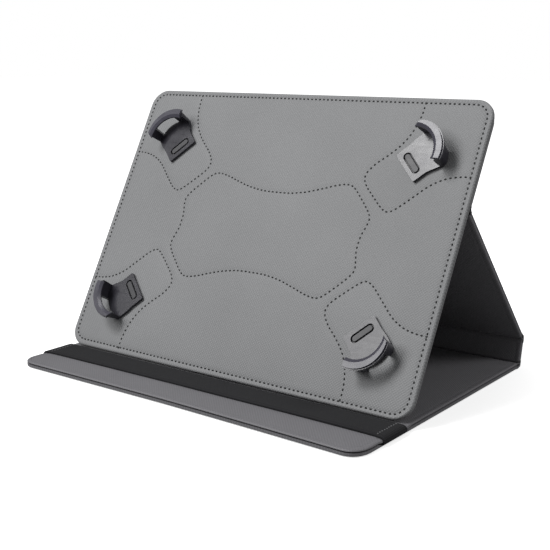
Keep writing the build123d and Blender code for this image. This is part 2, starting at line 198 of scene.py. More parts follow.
def leatherette(name, colour, roughness):
    """Coated cloth with a fine crossed emboss, faint mottling and lighter high spots."""
    mat, nodes, links, shader = new_material(name)
    uv = nodes.new("ShaderNodeUVMap").outputs["UV"]
    ribs = math_node(
        nodes, links, "MULTIPLY",
        wave_node(nodes, links, uv, 45, EMBOSS_PITCH),
        wave_node(nodes, links, uv, -45, EMBOSS_PITCH),
    )
    grain = noise_node(nodes, links, uv, 2.4, 5.0, 0.6)
    mottle = noise_node(nodes, links, uv, 0.012, 3.0, 0.5)
    tone = math_node(nodes, links, "ADD",
                     math_node(nodes, links, "MULTIPLY", ribs, 0.55),
                     math_node(nodes, links, "MULTIPLY", mottle, 0.5))
    links.new(
        ramp_node(nodes, links, tone, [
            (0.1, shade(colour, 0.78)), (0.40, colour), (0.9, shade(colour, 1.18)),
        ]),
        shader.inputs["Base Color"],
    )
    rough = math_node(nodes, links, "ADD",
                      math_node(nodes, links, "MULTIPLY", grain, 0.16), roughness - 0.08)
    links.new(rough, shader.inputs["Roughness"])
    normal = bump_node(nodes, links, grain, 0.05, 0.35)
    normal = bump_node(nodes, links, ribs, 0.12, 1.0, normal)
    links.new(normal, shader.inputs["Normal"])
    shader.inputs["Specular IOR Level"].default_value = 0.42
    shader.inputs["Sheen Weight"].default_value = 0.06
    return mat


def webbing(name, colour, rib_mm=0.9, fuzz=0.35):
    """Woven elastic: close ribs across its run, finer ones along it, and a little fuzz."""
    mat, nodes, links, shader = new_material(name)
    uv = nodes.new("ShaderNodeUVMap").outputs["UV"]
    across = wave_node(nodes, links, uv, 0, rib_mm)
    along = wave_node(nodes, links, uv, 90, rib_mm * 1.7)
    fluff = noise_node(nodes, links, uv, 1.6, 6.0, 0.7)
    weave = math_node(nodes, links, "ADD",
                      math_node(nodes, links, "MULTIPLY", across, 0.65),
                      math_node(nodes, links, "MULTIPLY", along, 0.35))
    tone = math_node(nodes, links, "ADD",
                     math_node(nodes, links, "MULTIPLY", weave, 0.5),
                     math_node(nodes, links, "MULTIPLY", fluff, 0.5))
    links.new(
        ramp_node(nodes, links, tone, [
            (0.2, shade(colour, 0.55)), (0.5, colour), (0.85, shade(colour, 1.8)),
        ]),
        shader.inputs["Base Color"],
    )
    normal = bump_node(nodes, links, fluff, 0.08, fuzz)
    normal = bump_node(nodes, links, weave, 0.2, 0.6, normal)
    links.new(normal, shader.inputs["Normal"])
    shader.inputs["Roughness"].default_value = 0.85
    shader.inputs["Specular IOR Level"].default_value = 0.25
    shader.inputs["Sheen Weight"].default_value = 0.04
    shader.inputs["Sheen Roughness"].default_value = 0.5
    return mat


def moulded(name, colour, roughness, grain_depth=0.03, painted_highlight_above=None):
    """Moulded plastic: a faint fine grain, cloudy patches and hairline scuffs.

    Above the height given, in millimetres over the holder's face, the colour is lightened: a painted
    highlight on the clips' lips. It is the same plastic, not another one: the lips catch more light
    than these lamps give.
    """
    mat, nodes, links, shader = new_material(name)
    place = nodes.new("ShaderNodeTexCoord").outputs["Object"]
    grain = noise_node(nodes, links, place, 2600.0, 2.0, 0.5)
    patches = noise_node(nodes, links, place, 90.0, 4.0, 0.6)
    scuffs = nodes.new("ShaderNodeTexNoise")
    scuffs.inputs["Scale"].default_value = 420.0
    scuffs.inputs["Detail"].default_value = 8.0
    stretch = nodes.new("ShaderNodeMapping")
    stretch.inputs["Scale"].default_value = (0.12, 1.0, 1.0)
    links.new(place, stretch.inputs["Vector"])
    links.new(stretch.outputs["Vector"], scuffs.inputs["Vector"])
    tone = ramp_node(nodes, links, patches, [
        (0.3, shade(colour, 0.85)), (0.55, colour), (0.8, shade(colour, 1.25)),
    ])
    # painted highlight: the same plastic is painted lighter above that height over the face, on the
    # lips
    if painted_highlight_above:
        height = nodes.new("ShaderNodeVectorMath")
        height.operation = "DOT_PRODUCT"
        links.new(place, height.inputs[0])
        height.inputs[1].default_value = holder.out
        face_level = holder.out.dot(holder.at(0, 0, 0))
        gain = nodes.new("ShaderNodeMapRange")
        gain.inputs["From Min"].default_value = face_level + (painted_highlight_above - LIP_HIGHLIGHT_BLEND) * MM
        gain.inputs["From Max"].default_value = face_level + painted_highlight_above * MM
        gain.inputs["To Min"].default_value = 1.0
        gain.inputs["To Max"].default_value = LIP_HIGHLIGHT_GAIN
        links.new(height.outputs["Value"], gain.inputs["Value"])
        lit = nodes.new("ShaderNodeVectorMath")
        lit.operation = "SCALE"
        links.new(tone, lit.inputs["Vector"])
        links.new(gain.outputs["Result"], lit.inputs["Scale"])
        tone = lit.outputs["Vector"]
    links.new(tone, shader.inputs["Base Color"])
    rough = math_node(nodes, links, "ADD",
                      math_node(nodes, links, "MULTIPLY", patches, 0.14),
                      math_node(nodes, links, "MULTIPLY", scuffs.outputs["Fac"], 0.10))
    rough = math_node(nodes, links, "ADD", rough, roughness - 0.12)
    links.new(rough, shader.inputs["Roughness"])
    links.new(bump_node(nodes, links, grain, grain_depth, 0.25), shader.inputs["Normal"])
    return mat


def greyboard(name, colour):
    """Pressed grey board: flecked fibres and soft layered edges."""
    mat, nodes, links, shader = new_material(name)
    place = nodes.new("ShaderNodeTexCoord").outputs["Object"]
    fibres = noise_node(nodes, links, place, 900.0, 8.0, 0.7)
    layers = noise_node(nodes, links, place, 160.0, 3.0, 0.5)
    tone = math_node(nodes, links, "ADD",
                     math_node(nodes, links, "MULTIPLY", fibres, 0.7),
                     math_node(nodes, links, "MULTIPLY", layers, 0.3))
    links.new(
        ramp_node(nodes, links, tone, [
            (0.3, shade(colour, 0.6)), (0.5, colour), (0.75, shade(colour, 1.5)),
        ]),
        shader.inputs["Base Color"],
    )
    links.new(bump_node(nodes, links, fibres, 0.1, 0.5), shader.inputs["Normal"])
    shader.inputs["Roughness"].default_value = 0.95
    return mat


def twisted_thread(name, colour):
    """Sewing thread: a slanting twist with loose fibre shading."""
    mat, nodes, links, shader = new_material(name)
    uv = nodes.new("ShaderNodeUVMap").outputs["UV"]
    twist = wave_node(nodes, links, uv, 35, 0.5)
    fibre = noise_node(nodes, links, uv, 6.0, 4.0, 0.6)
    links.new(
        ramp_node(nodes, links, math_node(nodes, links, "MULTIPLY", twist, fibre), [
            (0.05, shade(colour, 0.6)), (0.3, colour), (0.6, shade(colour, 1.6)),
        ]),
        shader.inputs["Base Color"],
    )
    links.new(bump_node(nodes, links, twist, 0.1, 0.5), shader.inputs["Normal"])
    shader.inputs["Roughness"].default_value = 0.6
    return mat


FACE_GREY = (0.205, 0.208, 0.213)
LINING_GREY = (0.160, 0.157, 0.168)
face_leather = leatherette("face_leatherette", FACE_GREY, 0.52)
edge_leather = leatherette("edge_leatherette", shade(FACE_GREY, 0.85), 0.48)
lining_leather = leatherette("lining_leatherette", LINING_GREY, 0.46)
outer_leather = leatherette("outer_leatherette", LINING_GREY, 0.50)
strap_cloth = webbing("strap_elastic", (0.0095, 0.0095, 0.011), fuzz=0.25)
web_cloth = webbing("elastic_webbing", (0.030, 0.030, 0.032), 0.7)
# the clips' lips, above 12.4 mm over the face, carry a painted highlight
clip_plastic = moulded("clip_plastic", (0.026, 0.025, 0.033), 0.30, painted_highlight_above=12.4)
stud_plastic = moulded("stud_plastic", (0.028, 0.028, 0.032), 0.45, 0.08)
# the boards' own grey, darkened as painted shade: the board shows in the gaps between the skins' hems,
# which read as a dark shaded line
board_paper_and_shade = greyboard("greyboard", (0.036, 0.035, 0.033))
dark_thread = twisted_thread("dark_thread", (0.011, 0.011, 0.012))
grey_thread = twisted_thread("grey_thread", (0.120, 0.120, 0.125))


# ---- mesh helpers ------------------------------------------------------------
SOFT_ANGLE = 50             # degrees up to which a drawn piece is shaded smooth
STITCH_PITCH, STITCH_LENGTH, STITCH_RADIUS = 3.1, 1.5, 0.50
CREASE, END_CREASE, END_CREASE_REACH = 0.10, 0.28, 16.0     # of the skins across the folds


def make_piece(name, verts, faces, uvs, material, body=None):
    """A mesh piece from points in metres; uvs holds one map point per vertex, in millimetres."""
    mesh = bpy.data.meshes.new(name)
    mesh.from_pydata([tuple(v) for v in verts], [], faces)
    layer = mesh.uv_layers.new(name="map")
    for loop in mesh.loops:
        layer.data[loop.index].uv = uvs[loop.vertex_index]
    mesh.materials.append(material)
    tidy = bmesh.new()
    tidy.from_mesh(mesh)
    bmesh.ops.remove_doubles(tidy, verts=tidy.verts, dist=1e-6)
    tidy.to_mesh(mesh)
    tidy.free()
    obj = bpy.data.objects.new(name, mesh)
    bpy.context.scene.collection.objects.link(obj)
    mesh.shade_smooth()
    mesh.set_sharp_from_angle(angle=math.radians(SOFT_ANGLE))
    if body:
        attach(obj, body)
    return obj


def axis_steps(low, high, step, near=(0, 0.1, 0.25, 0.45, 0.8, 1.3, 2.0, 2.6, 3.2, 3.8, 4.6)):
    """Grid positions from low to high: close together at both ends, even in between."""
    start, end = [low + d for d in near], [high - d for d in near]
    count = max(1, round((end[-1] - start[-1]) / step))
    middle = [start[-1] + (end[-1] - start[-1]) * i / count for i in range(1, count)]
    return start + middle + end[::-1]


class Outline:
    """A rounded rectangle centred on x, which knows how far inside its free edges a point is."""

    def __init__(self, width, low, high, low_corner=0.0, high_corner=0.0, open_edges=()):
        self.half, self.low, self.high = width / 2, low, high
        self.corners = ((low + low_corner, low_corner, -1), (high - high_corner, high_corner, 1))
        self.open_edges = open_edges

    def corner_of(self, x, y):
        for centre, radius, side in self.corners:
            if radius and abs(x) > self.half - radius and side * (y - centre) > 0:
                return centre, radius, side
        return None

    def warp(self, x, y):
        """Bends a square grid so that its corners follow the rounding."""
        found = self.corner_of(x, y)
        if not found:
            return x, y
        centre, radius, side = found
        u, v = (abs(x) - self.half + radius) / radius, abs(y - centre) / radius
        length = math.hypot(u, v)
        if length > 0:
            u, v = u * max(u, v) / length, v * max(u, v) / length
        return math.copysign(self.half - radius + u * radius, x), centre + side * v * radius

    def inset(self, x, y, distance):
        """The nearest point that lies at least that far inside every free edge."""
        found = self.corner_of(x, y)
        if found:
            centre, radius, _ = found
            dx, dy = abs(x) - self.half + radius, y - centre
            length = math.hypot(dx, dy)
            scale = min(1.0, (radius - distance) / length) if length else 1.0
            return math.copysign(self.half - radius + dx * scale, x), centre + dy * scale
        x = max(distance - self.half, min(self.half - distance, x))
        if "low" not in self.open_edges:
            y = max(y, self.low + distance)
        if "high" not in self.open_edges:
            y = min(y, self.high - distance)
        return x, y

    def inside(self, x, y):
        """Distance in from the nearest free edge."""
        found = self.corner_of(x, y)
        if found:
            centre, radius, _ = found
            return radius - math.hypot(abs(x) - self.half + radius, y - centre)
        distances = [self.half - abs(x)]
        if "low" not in self.open_edges:
            distances.append(y - self.low)
        if "high" not in self.open_edges:
            distances.append(self.high - y)
        return max(0.0, min(distances))


def hump(offset, width):
    """1 at no offset, and falling off smoothly to either side."""
    return math.exp(-((offset / width) ** 2))


def rolled_edge(distance, radius):
    """How far a surface drops where it rolls over a free edge."""
    if distance >= radius:
        return 0.0
    return radius - math.sqrt(max(0.0, radius**2 - (radius - distance) ** 2))


def sheet(name, panel, outline, z_seen, z_hidden, material, body,
          relief=None, step=3.0, roll=0.7, hem=0.0, bow=None):
    """A skin: its seen side carries the relief and rolls over the free edges.

    With a hem, the skin also turns down past its hidden side there, around the board's edge.
    The hem is a depth, or a function that gives the depth at a distance up the panel.
    """
    side = 1 if z_seen > z_hidden else -1
    xs = axis_steps(-outline.half, outline.half, step)
    ys = axis_steps(outline.low, outline.high, step)
    verts, uvs, faces = [], [], []

    def add(x, y, z):
        verts.append(panel.at(x, y - (bow(x, y) if bow else 0.0), z))
        uvs.append((x, y))

    for y in ys:
        for x in xs:
            px, py = outline.warp(x, y)
            inside = outline.inside(px, py)
            depth = rolled_edge(inside, roll)
            if relief:
                depth -= relief(px, py, inside)
            add(px, py, z_seen - side * depth)
    nx, ny = len(xs), len(ys)
    for j in range(ny - 1):
        for i in range(nx - 1):
            a = j * nx + i
            faces.append((a, a + 1, a + nx + 1, a + nx))
    rim = list(range(nx)) + [j * nx + nx - 1 for j in range(1, ny)]
    rim += [(ny - 1) * nx + i for i in range(nx - 2, -1, -1)]
    rim += [j * nx for j in range(ny - 2, 0, -1)]
    rim_points = [uvs[index] for index in rim]
    rings = [rim]
    for ring in range(3 if hem else 1):
        start = len(verts)
        for x, y in rim_points:
            turned = hem(y) if callable(hem) else hem
            if outline.inside(x, y) > HEM - 0.01:
                turned = 0.0
            if ring:
                x, y = outline.inset(x, y, HEM)
            add(x, y, z_hidden - side * (turned if ring < 2 else 0.0))
        rings.append(list(range(start, start + len(rim))))
    count = len(rim)
    for upper, lower in zip(rings, rings[1:]):
        for k in range(count):
            n = (k + 1) % count
            faces.append((upper[k], lower[k], lower[n], upper[n]))
    faces.append(tuple(rings[-1][::-1]))
    if side < 0:
        faces = [face[::-1] for face in faces]
    return make_piece(name, verts, faces, uvs, material, body)


def smooth_path(points, step, closed=False):
    """An even curve through the points given (Catmull-Rom), as a list of Vectors."""
    parts = 24
    pts = [Vector(p) for p in points]
    count = len(pts)
    dense = []
    spans = count if closed else count - 1
    for i in range(spans):
        if closed:
            p0, p1, p2, p3 = (pts[(i + k - 1) % count] for k in range(4))
        else:
            p0 = pts[max(i - 1, 0)]
            p1, p2 = pts[i], pts[i + 1]
            p3 = pts[min(i + 2, count - 1)]
        for k in range(parts):
            t = k / parts
            dense.append(0.5 * (
                2 * p1 + (p2 - p0) * t + (2 * p0 - 5 * p1 + 4 * p2 - p3) * t * t
                + (3 * p1 - p0 - 3 * p2 + p3) * t**3
            ))
    dense.append(pts[0] if closed else pts[-1])
    return even_points(dense, step)


def even_points(dense, step):
    """The same path with points a nearly even step apart."""
    lengths = [0.0]
    for a, b in zip(dense, dense[1:]):
        lengths.append(lengths[-1] + (b - a).length)
    count = max(1, round(lengths[-1] / step))
    result, k = [], 0
    for i in range(count + 1):
        target = lengths[-1] * i / count
        while k < len(lengths) - 2 and lengths[k + 1] < target:
            k += 1
        span = lengths[k + 1] - lengths[k] or 1.0
        result.append(dense[k].lerp(dense[k + 1], (target - lengths[k]) / span))
    return result


def band_faces(rows, columns):
    """Faces of a flat band made of two layers of points, the seen layer first."""
    faces, block = [], rows * columns
    for k in range(rows - 1):
        for i in range(columns - 1):
            a, b = k * columns + i, k * columns + i + block
            faces.append((a, a + columns, a + columns + 1, a + 1))
            faces.append((b, b + 1, b + columns + 1, b + columns))
        for i in (0, columns - 1):
            a, b = k * columns + i, k * columns + i + block
            quad = (a, b, b + columns, a + columns)
            faces.append(quad if i == 0 else quad[::-1])
    for k in (0, rows - 1):
        for i in range(columns - 1):
            a, b = k * columns + i, k * columns + i + block
            quad = (a, a + 1, b + 1, b)
            faces.append(quad if k == 0 else quad[::-1])
    return faces


def fold_strip(name, controls, thickness, width, material, replaced):
    """A thin skin across a fold between two bodies, from a curve in the YZ plane."""
    line = smooth_path([Vector((0, y, z)) for _, y, z in controls], 0.25 * MM)
    half = width / 2
    xs = axis_steps(-half, half, 1.8, near=(0, 0.15, 0.4, 1.0))
    verts, uvs, faces = [], [], []
    rows = len(line)
    for layer in (0.5, -0.5):
        run = 0.0
        for k, point in enumerate(line):
            tangent = (line[min(k + 1, rows - 1)] - line[max(k - 1, 0)]).normalized()
            normal = Vector((0, -tangent.z, tangent.y))
            if k:
                run += (point - line[k - 1]).length / MM
            for x in xs:
                drop = rolled_edge(half - abs(x), thickness * 0.4) / (thickness * 0.5)
                offset = thickness * layer * (1 - min(0.9, drop))
                # creased a little everywhere and more towards both ends, but flat where glued
                near_end = hump(half - abs(x), END_CREASE_REACH)
                crease = CREASE + END_CREASE * near_end
                free = math.sin(math.pi * k / (rows - 1)) ** 2
                offset += crease * free * noise.noise(Vector((x / 4.5, run / 1.6, rows)))
                verts.append(point + normal * (offset * MM) + Vector((x * MM, 0, 0)))
                uvs.append((x, run))
    nx = len(xs)
    block = rows * nx
    for k in range(rows - 1):
        for i in range(nx - 1):
            a = k * nx + i
            faces.append((a, a + 1, a + nx + 1, a + nx))
            b = a + block
            faces.append((b, b + nx, b + nx + 1, b + 1))
    for k in range(rows - 1):
        for i in (0, nx - 1):
            a, b = k * nx + i, k * nx + i + block
            quad = (a, a + nx, b + nx, b)
            faces.append(quad if i == 0 else quad[::-1])
    for i in range(nx - 1):
        for k in (0, rows - 1):
            a, b = k * nx + i, k * nx + i + block
            quad = (a, b, b + 1, a + 1)
            faces.append(quad if k == 0 else quad[::-1])
    strip = make_piece(name, verts, faces, uvs, material)
    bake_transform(strip)
    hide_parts(*replaced)
    return strip


def stitch_row(name, rows, material, body, length=STITCH_LENGTH, radius=STITCH_RADIUS):
    """Stitches laid along paths; each row is a list of (point, surface normal) in metres."""
    verts, uvs, faces = [], [], []
    around, along = 8, (-1.0, -0.86, -0.5, 0.0, 0.5, 0.86, 1.0)
    for row in rows:
        for k, (point, normal) in enumerate(row):
            before = row[max(k - 1, 0)][0]
            after = row[min(k + 1, len(row) - 1)][0]
            run = (after - before).normalized()
            side = normal.cross(run).normalized()
            # every stitch lies a touch askew, as a lock stitch does
            run = (run + side * random.uniform(0.02, 0.10)).normalized()
            side = normal.cross(run).normalized()
            base = len(verts)
            for t in along:
                thick = radius * math.sqrt(max(0.02, 1 - t**6))
                sink = -0.30 * radius * t**4 - 0.10 * radius
                centre = point + run * (t * length / 2 * MM) + normal * (sink * MM)
                for s in range(around):
                    a = 2 * math.pi * s / around
                    verts.append(centre + (side * math.cos(a) + normal * math.sin(a)) * (thick * MM))
                    uvs.append((t * length / 2 + k * STITCH_PITCH, 0.8 * s / around))
            for r in range(len(along) - 1):
                for s in range(around):
                    n = (s + 1) % around
                    p = base + r * around
                    faces.append((p + s, p + n, p + around + n, p + around + s))
            faces.append(tuple(base + s for s in range(around))[::-1])
            last = base + (len(along) - 1) * around
            faces.append(tuple(last + s for s in range(around)))
    return make_piece(name, verts, faces, uvs, material, body)


# ---- seams on the tablet holder, in millimetres from its centre -----------------
def mirrored(points, side_x, side_v):
    return [(x * side_x, v * side_v) for x, v in points]


POCKET_SEAM = [
    (88.2, 92.6), (88.0, 85.0), (85.6, 75.0), (80.5, 65.5), (73.0, 57.5), (66.0, 51.2),
    (61.6, 44.5), (63.0, 38.5), (71.0, 30.5), (78.5, 24.0), (83.0, 21.9), (88.5, 24.2),
    (97.0, 32.0), (106.0, 40.3), (115.0, 45.2), (123.5, 47.2), (130.2, 47.6),
]
CENTRE_SEAM_QUARTER = [
    (0.0, 27.3), (11.0, 27.6), (22.5, 29.4), (33.0, 32.3), (43.0, 35.4), (50.5, 36.7),
    (56.0, 35.2), (63.0, 28.8), (70.5, 20.8), (72.9, 16.2), (72.0, 10.5), (70.4, 4.5),
]
SEAM_INSET = 3.4
SLANT, SLANT_AT, SLANT_HEIGHT = 1.0, 127.0, 12.0       # how far, how far out, how high up


def perimeter_path():
    """The closed seam line round the holder, measured up from its lower edge."""
    half, r = HOLDER_WIDTH / 2 - SEAM_INSET, HOLDER_CORNER - SEAM_INSET
    high, low = HOLDER_HEIGHT - SEAM_INSET - r, SEAM_INSET + r
    corners = [
        (half - r, high, 0), (-half + r, high, 90), (-half + r, low, 180), (half - r, low, 270),
    ]
    dense = []
    for cx, cy, start in corners:
        for k in range(13):
            a = math.radians(start + 90 * k / 12)
            dense.append(Vector((cx + r * math.cos(a), cy + r * math.sin(a), 0)))
    dense.append(dense[0])
    return even_points(dense, 2.0)


def centre_path():
    quarter = CENTRE_SEAM_QUARTER
    top_right = quarter
    bottom_right = mirrored(quarter[::-1], 1, -1)[:-1]
    bottom_left = mirrored(quarter, -1, -1)
    top_left = mirrored(quarter[::-1], -1, 1)[:-1]
    return top_right + bottom_right + bottom_left + top_left


middle = HOLDER_HEIGHT / 2


def slanted(point):
    """The lower run of the edge seam isn't quite parallel to the edge: 1 mm off at each end."""
    low_part = max(0.0, 1 - point.y / SLANT_HEIGHT)
    return Vector((point.x, point.y - SLANT * low_part * point.x / SLANT_AT, 0))


seam_lines = {
    "seam_perimeter": even_points([slanted(p) for p in perimeter_path()], STITCH_PITCH)
}
seam_lines["seam_centre"] = [
    Vector((p.x, p.y + middle, 0))
    for p in smooth_path([(x, v, 0) for x, v in centre_path()], STITCH_PITCH, closed=True)
]
for corner, (side_x, side_v) in CORNERS.items():
    seam_lines["seam_pocket_" + corner] = [
        Vector((p.x, p.y + middle, 0))
        for p in smooth_path(
            [(x, v, 0) for x, v in mirrored(POCKET_SEAM, side_x, side_v)], STITCH_PITCH
        )
    ]

seam_points = []
for line in seam_lines.values():
    for a, b in zip(line, line[1:]):
        seam_points += [a.lerp(b, k / 6) for k in range(6)]
seam_tree = kdtree.KDTree(len(seam_points))
for index, point in enumerate(seam_points):
    seam_tree.insert(point, index)
seam_tree.balance()


# ---- reliefs: how far a skin's seen side stands out, in millimetres ---------------
PRESSED_LINE_INSET = 3.2
STRAP_PRESS, STRAP_PRESS_REACH = 0.65, 8.0


def face_relief(x, y, inside):
    """The holder's face: drawn down along every seam, soft and very slightly uneven between."""
    distance = seam_tree.find(Vector((x, y, 0)))[2]
    pinch = -0.30 * hump(distance, 1.1)
    swell = 0.16 * (1 - hump(distance, 7.0))
    rim = 0.10 * hump(inside - 1.6, 0.9)
    ripple = 0.05 * noise.noise(Vector((x / 31.0, y / 27.0, 3.1)))
    return (pinch + swell + rim + ripple) * 0.9 - 0.1


def lining_relief(seed, strapped=False):
    """A lining: a pressed line inside its free edges and slow hand-made unevenness."""
    def relief(x, y, inside):
        line = -0.24 * hump(inside - PRESSED_LINE_INSET, 0.45)
        lip = 0.12 * hump(inside - 1.9, 0.9)
        ripple = 0.06 * noise.noise(Vector((x / 42.0, y / 33.0, seed)))
        height = line + lip + ripple - 0.06
        if strapped and abs(x) > COVER_WIDTH / 2 - STRAP_PRESS_REACH:
            # pulled down by the strap where that turns over the edge
            along = (y - STRAP_START - STRAP_WIDTH / 2) / (STRAP_WIDTH / 2 + 1.5)
            press = math.exp(-(along**8)) * hump(inside, 2.2)
            height -= STRAP_PRESS * press
        return height
    return relief


def outer_relief(seed):
    """An outer skin: smooth over the board, and a little lower along its rim."""
    def relief(x, y, inside):
        rim = -0.12 * hump(inside, 2.2)
        ripple = 0.07 * noise.noise(Vector((x / 37.0, y / 45.0, seed)))
        return rim + ripple - 0.06
    return relief


# ---- front cover -------------------------------------------------------------
RUN_OUT, RUN_OUT_START, RUN_OUT_DEPTH = 4.0, -12.0, 20.0
OUTER_HEM, LINING_HEM, PRESSED_HEM = 1.15, 0.12, 0.8
front_outline = Outline(COVER_WIDTH, 0, FRONT_LENGTH, low_corner=FRONT_CORNER, open_edges=("high",))


def front_bow(x, y):
    """The cover's front edge looks a little out of square: it runs out to the right."""
    across = (x - RUN_OUT_START) / (COVER_WIDTH / 2 - RUN_OUT_START)
    return RUN_OUT * max(0.0, across) ** 1.25 * max(0.0, 1 - y / RUN_OUT_DEPTH)


def beside_strap(y, spare):
    """Whether a place on the cover's side edges lies under the strap, or that near to it."""
    return STRAP_START - spare < y < STRAP_START + STRAP_WIDTH + spare


def outer_hem(y):
    """The outer skin turns up round the board, except where the strap goes in beside it."""
    return 0.0 if beside_strap(y, 2.5) else OUTER_HEM


def lining_hem(y):
    """The lining ends just under its own thickness, lower where the strap presses it down."""
    return PRESSED_HEM if beside_strap(y, 4) else LINING_HEM


piece = sheet("front_lining_sheet", front, front_outline, FRONT_THICK, FRONT_THICK - 0.9,
              lining_leather, "front_cover",
              lining_relief(1.7, strapped=True), roll=0.85, hem=lining_hem, bow=front_bow)
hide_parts("front_lining")
piece = sheet("front_outer_sheet", front, front_outline, 0.0, FRONT_SKIN,
              outer_leather, "front_cover", outer_relief(2.9),
              roll=0.6, hem=outer_hem, bow=front_bow)
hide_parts("front_outer_skin")


def closing_strap():
    """The elastic band: over the lining, down both ends and in under the board."""
    half = COVER_WIDTH / 2 + 0.1 + STRAP_THICK / 2
    low = FRONT_SKIN + 0.05 + STRAP_THICK / 2
    top = FRONT_THICK + STRAP_THICK / 2
    right = [(half - STRAP_TUCK, low)]
    turn, roll_across, roll_rise = 0.75, 2.6, 2.1
    turn_steps, spans = 8, 170
    # tight turn in under the board, wider roll over the edge of the cover
    for start, across, rise, cz in (
        (-90, turn, turn, low + turn), (0, roll_across, roll_rise, top - roll_rise),
    ):
        for k in range(turn_steps + 1):
            a = math.radians(start + 90 * k / turn_steps)
            right.append((half - across + across * math.cos(a), cz + rise * math.sin(a)))
    inner = right[-1][0]
    path = [Vector((-x, 0, z)) for x, z in right]
    path += [Vector((-inner + 2 * inner * k / spans, 0, top)) for k in range(1, spans)]
    path += [Vector((x, 0, z)) for x, z in right[::-1]]
    widths = [-1.0, -0.985, -0.95, -0.90, -0.86, -0.82, -0.7, -0.5, -0.25, 0.0]
    widths += [-w for w in widths[-2::-1]]
    verts, uvs = [], []
    for layer in (1, -1):
        run = 0.0
        for k, point in enumerate(path):
            after = path[min(k + 1, len(path) - 1)]
            tangent = (after - path[max(k - 1, 0)]).normalized()
            normal = Vector((-tangent.z, 0, tangent.x))
            if k:
                run += (point - path[k - 1]).length
            near_end = hump(half - abs(point.x), 5.0)
            stretched = 1 - (point.x / half) ** 2
            width = STRAP_WIDTH / 2 - 0.7 * stretched + 0.5 * near_end
            for w in widths:
                edge = abs(w)
                thick = STRAP_THICK / 2
                if layer > 0:
                    thick *= 1 - 0.35 * max(0.0, (edge - 0.93) / 0.07) ** 2
                    thick -= 0.20 * hump(edge - 0.86, 0.02)
                    thick += 0.05 * noise.noise(Vector((point.x / 9.0, w * 3.0, 5.0)))
                y = STRAP_START + STRAP_WIDTH / 2 + w * width
                y += 0.25 * noise.noise(Vector((point.x / 60.0, 0.3, 9.0)))
                y += 0.4 * stretched - 0.4 * near_end
                place = point + normal * (layer * thick)
                verts.append(front.at(place.x, y, place.z))
                uvs.append((run, y))
    strap = make_piece("closing_strap_band", verts, band_faces(len(path), len(widths)), uvs,
                       strap_cloth, "front_cover")
    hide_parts("closing_strap")
    stitches = []
    for side in (-1, 1):
        x = side * (COVER_WIDTH / 2 - 5.0)
        ys = [STRAP_START + 2.2 + 2.3 * k for k in range(9)]
        stitches.append([
            (front.at(x + random.uniform(-0.2, 0.2), y, FRONT_THICK + STRAP_THICK), front.out)
            for y in ys
        ])
    stitch_row("strap_end_stitches", stitches, grey_thread, "front_cover",
               length=1.3, radius=0.40)


closing_strap()

# ---- spine and back -------------------------------------------------------------
for name, panel, low, high in (
    ("spine", spine, GROOVE_GAP, SPINE_LENGTH - GROOVE_GAP),
    ("back", back, GROOVE_GAP, BACK_LENGTH - UPPER_GAP),
):
    outline = Outline(COVER_WIDTH, low, high, open_edges=("low", "high"))
    piece = sheet(name + "_lining_sheet", panel, outline, PANEL_HALF, PANEL_HALF - SKIN,
                  lining_leather, name, lining_relief(4.3),
                  roll=0.9, hem=0.75)
    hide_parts(name + "_lining")
    piece = sheet(name + "_outer_sheet", panel, outline, -PANEL_HALF, SKIN - PANEL_HALF,
                  outer_leather, name, outer_relief(5.9),
                  roll=0.8, hem=0.75)
    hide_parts(name + "_outer_skin")

MID = PANEL_HALF - SKIN / 2     # from a panel's middle to the middle of either skin
THIN = 0.6                      # thickness of the lining where it crosses a fold
fold_strip("front_groove_outer", [
    front.at(0, FRONT_LENGTH, SKIN / 2), front.at(0, FRONT_LENGTH + 2.6, SKIN / 2),
    spine.at(0, -0.3, -MID), spine.at(0, 1.2, -MID), spine.at(0, GROOVE_GAP, -MID),
], SKIN, COVER_WIDTH, outer_leather,
    ["front_groove_skin"])
fold_strip("front_groove_inner", [
    front.at(0, FRONT_LENGTH, FRONT_THICK - THIN / 2),
    front.at(0, FRONT_LENGTH + 1.2, FRONT_THICK - THIN / 2 - 0.3),
    spine.at(0, 0.9, 0.3), spine.at(0, GROOVE_GAP - 0.9, MID - 0.2),
    spine.at(0, GROOVE_GAP, MID + 0.1),
], THIN, COVER_WIDTH, lining_leather,
    ["front_groove_lining"])
fold_strip("rear_groove_outer", [
    spine.at(0, SPINE_LENGTH - GROOVE_GAP, -MID), spine.at(0, SPINE_LENGTH - 1.2, -MID),
    back.at(0, 0.0, -MID - 0.15), back.at(0, 1.3, -MID), back.at(0, GROOVE_GAP, -MID),
], SKIN, COVER_WIDTH, outer_leather,
    ["rear_groove_skin"])
fold_strip("rear_groove_inner", [
    spine.at(0, SPINE_LENGTH - GROOVE_GAP, MID + 0.1), spine.at(0, SPINE_LENGTH - 1.8, MID - 0.3),
    spine.at(0, SPINE_LENGTH - 0.5, 0.5), back.at(0, 1.8, MID - 0.3),
    back.at(0, GROOVE_GAP, MID + 0.1),
], THIN, COVER_WIDTH, lining_leather,
    ["rear_groove_lining"])
upper_z = -(HOLDER_THICK + UPPER_BOARD + FRONT_SKIN / 2)
fold_strip("top_fold_outer", [
    back.at(0, BACK_LENGTH - UPPER_GAP, -MID), back.at(0, BACK_LENGTH - UPPER_GAP + 1.3, -MID),
    holder.at(0, FOLD_HEIGHT + UPPER_GAP - 1.3, upper_z),
    holder.at(0, FOLD_HEIGHT + UPPER_GAP, upper_z),
], SKIN, COVER_WIDTH, outer_leather, ["top_fold_skin"])

